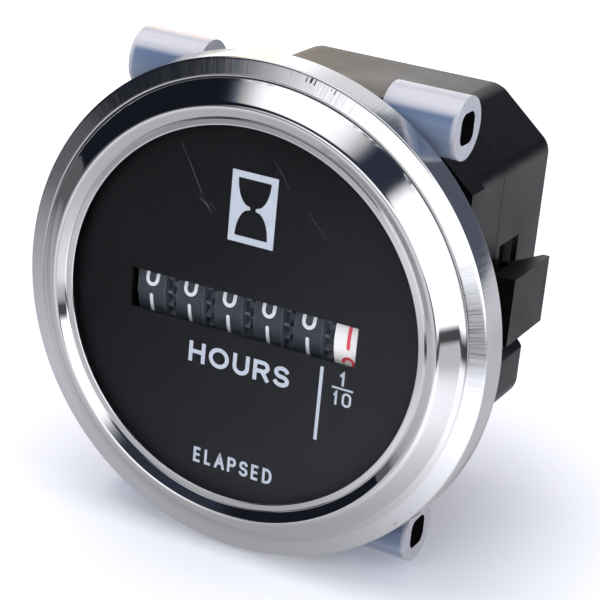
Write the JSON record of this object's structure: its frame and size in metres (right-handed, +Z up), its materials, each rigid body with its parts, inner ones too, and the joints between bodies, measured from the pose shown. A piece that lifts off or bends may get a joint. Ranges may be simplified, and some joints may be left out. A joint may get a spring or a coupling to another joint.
{
  "type": "hour meter",
  "caption": "Round panel hour meter: polished metal bezel, black dial with a drum counter, octagonal case, and a ratchet clamp with soft sleeves that holds it in a round panel hole.",
  "frame": {"origin": "centre of the panel seat, on the meter's axis, at the back of the bezel's rim", "axes": "+Y back into the panel, the dial faces -Y, +Z up, +X to the right of the dial"},
  "size_m": [0.058, 0.0478, 0.058],
  "materials": {
    "polished_steel": "mirror polished bevel, finely brushed shoulder",
    "clear_lens": "clear, polished",
    "seal_rubber": "matt",
    "dial_black": "satin black print on aluminium",
    "case_plastic": "satin moulded ABS",
    "clamp_plastic": "satin moulded plastic",
    "silicone": "translucent, smooth",
    "frame_plastic": "moulded acetal",
    "gear_plastic": "moulded acetal",
    "shaft_steel": "ground steel",
    "drum_black": "satin black with white numbers",
    "drum_white": "white with red numbers",
    "magnet": "sintered ferrite",
    "core_steel": "annealed core steel",
    "copper_wire": "enamelled copper wire",
    "board": "solder resist",
    "capacitor_sleeve": "shrink sleeve",
    "tinned_brass": "tin plated brass"
  },
  "bodies": {
    "case": {"bezel": "polished_steel", "lens": "clear_lens", "lens_seal": "seal_rubber", "dial_plate": "dial_black", "front_case": "case_plastic", "rear_case": "case_plastic", "counter_frame": "frame_plastic", "drum_shaft": "shaft_steel", "pinion_shaft": "shaft_steel", "idler_post": "shaft_steel", "stator": "core_steel", "coil_core": "core_steel", "coil_bobbin": "frame_plastic", "coil_winding": "copper_wire", "stator_screws": "shaft_steel", "circuit_board": "board", "board_screws": "shaft_steel", "crystal": "shaft_steel", "chip": "clamp_plastic", "capacitor": "capacitor_sleeve", "terminal_left": "tinned_brass", "terminal_right": "tinned_brass"},
    "clamp": {"panel_clamp": "clamp_plastic", "sleeve_upper_left": "silicone", "sleeve_upper_right": "silicone", "sleeve_lower_left": "silicone", "sleeve_lower_right": "silicone"},
    "tenths_drum": {"drum_6": "drum_white"},
    "hours_drum": {"drum_5": "drum_black"},
    "tens_drum": {"drum_4": "drum_black"},
    "hundreds_drum": {"drum_3": "drum_black"},
    "thousands_drum": {"drum_2": "drum_black"},
    "ten_thousands_drum": {"drum_1": "drum_black"},
    "pinion_1": {"carry_pinion_1": "gear_plastic"},
    "pinion_2": {"carry_pinion_2": "gear_plastic"},
    "pinion_3": {"carry_pinion_3": "gear_plastic"},
    "pinion_4": {"carry_pinion_4": "gear_plastic"},
    "pinion_5": {"carry_pinion_5": "gear_plastic"},
    "idler": {"idler_gear": "gear_plastic"},
    "rotor": {"rotor_shaft": "gear_plastic", "rotor_magnet": "magnet"}
  },
  "joints": [
    {"name": "tenths_turn", "type": "hinge", "parent": "case", "child": "tenths_drum", "pos_m": [0, 0.003, -0.0002], "axis": [-1, 0, 0], "continuous": true},
    {"name": "hours_turn", "type": "hinge", "parent": "case", "child": "hours_drum", "pos_m": [0, 0.003, -0.0002], "axis": [-1, 0, 0], "continuous": true},
    {"name": "tens_turn", "type": "hinge", "parent": "case", "child": "tens_drum", "pos_m": [0, 0.003, -0.0002], "axis": [-1, 0, 0], "continuous": true},
    {"name": "hundreds_turn", "type": "hinge", "parent": "case", "child": "hundreds_drum", "pos_m": [0, 0.003, -0.0002], "axis": [-1, 0, 0], "continuous": true},
    {"name": "thousands_turn", "type": "hinge", "parent": "case", "child": "thousands_drum", "pos_m": [0, 0.003, -0.0002], "axis": [-1, 0, 0], "continuous": true},
    {"name": "ten_thousands_turn", "type": "hinge", "parent": "case", "child": "ten_thousands_drum", "pos_m": [0, 0.003, -0.0002], "axis": [-1, 0, 0], "continuous": true},
    {"name": "pinion_5_turn", "type": "hinge", "parent": "case", "child": "pinion_5", "pos_m": [0, 0.00873, -0.00421], "axis": [-1, 0, 0], "continuous": true},
    {"name": "pinion_4_turn", "type": "hinge", "parent": "case", "child": "pinion_4", "pos_m": [0, 0.00873, -0.00421], "axis": [-1, 0, 0], "continuous": true},
    {"name": "pinion_3_turn", "type": "hinge", "parent": "case", "child": "pinion_3", "pos_m": [0, 0.00873, -0.00421], "axis": [-1, 0, 0], "continuous": true},
    {"name": "pinion_2_turn", "type": "hinge", "parent": "case", "child": "pinion_2", "pos_m": [0, 0.00873, -0.00421], "axis": [-1, 0, 0], "continuous": true},
    {"name": "pinion_1_turn", "type": "hinge", "parent": "case", "child": "pinion_1", "pos_m": [0, 0.00873, -0.00421], "axis": [-1, 0, 0], "continuous": true},
    {"name": "idler_turn", "type": "hinge", "parent": "case", "child": "idler", "pos_m": [0, 0.00675, 0.0063], "axis": [-1, 0, 0], "continuous": true},
    {"name": "rotor_turn", "type": "hinge", "parent": "case", "child": "rotor", "pos_m": [0, 0.01475, 0.0063], "axis": [-1, 0, 0], "continuous": true},
    {"name": "clamp_slide", "type": "slide", "parent": "case", "child": "clamp", "axis": [0, 1, 0], "range_m": [0, 0.045]}
  ],
  "couplings": [
    {"joint": "hours_turn", "follows": "tenths_turn", "ratio": 0.1},
    {"joint": "tens_turn", "follows": "tenths_turn", "ratio": 0.01},
    {"joint": "hundreds_turn", "follows": "tenths_turn", "ratio": 0.001},
    {"joint": "thousands_turn", "follows": "tenths_turn", "ratio": 0.0001},
    {"joint": "ten_thousands_turn", "follows": "tenths_turn", "ratio": 0.00001},
    {"joint": "pinion_5_turn", "follows": "tenths_turn", "ratio": -0.25},
    {"joint": "pinion_4_turn", "follows": "tenths_turn", "ratio": -0.025},
    {"joint": "pinion_3_turn", "follows": "tenths_turn", "ratio": -0.0025},
    {"joint": "pinion_2_turn", "follows": "tenths_turn", "ratio": -0.00025},
    {"joint": "pinion_1_turn", "follows": "tenths_turn", "ratio": -0.000025},
    {"joint": "idler_turn", "follows": "tenths_turn", "ratio": -2},
    {"joint": "rotor_turn", "follows": "tenths_turn", "ratio": 6}
  ]
}
